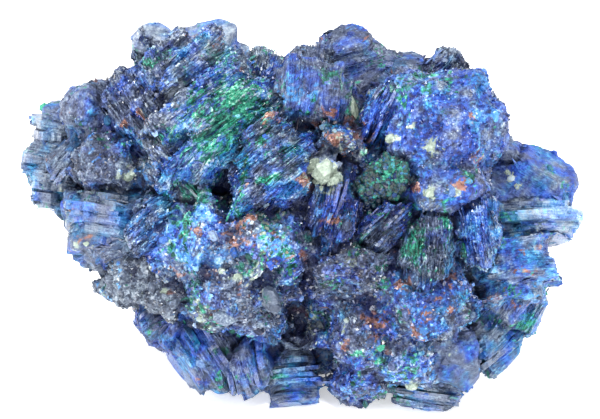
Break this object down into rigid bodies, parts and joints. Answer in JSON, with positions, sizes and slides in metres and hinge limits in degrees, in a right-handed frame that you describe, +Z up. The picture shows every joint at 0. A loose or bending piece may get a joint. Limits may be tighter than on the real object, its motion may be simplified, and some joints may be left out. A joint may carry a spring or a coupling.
{
  "type": "azurite specimen",
  "caption": "Hand-sized mineral specimen: blue azurite plates fanned into rosettes and lumps that have grown into one another, standing on a flat broken base.",
  "frame": {"origin": "middle of the specimen's box in plan, on the surface that it stands on", "axes": "+Z up; +X to the right along the specimen's longest size; -Y towards a person looking at the show face, which leans back 30 degrees from the upright"},
  "size_m": [0.0844, 0.0505, 0.0563],
  "materials": {
    "azurite": "drusy, half dull and half glassy"
  },
  "bodies": {
    "root": {"azurite_specimen": "azurite"}
  },
  "joints": []
}
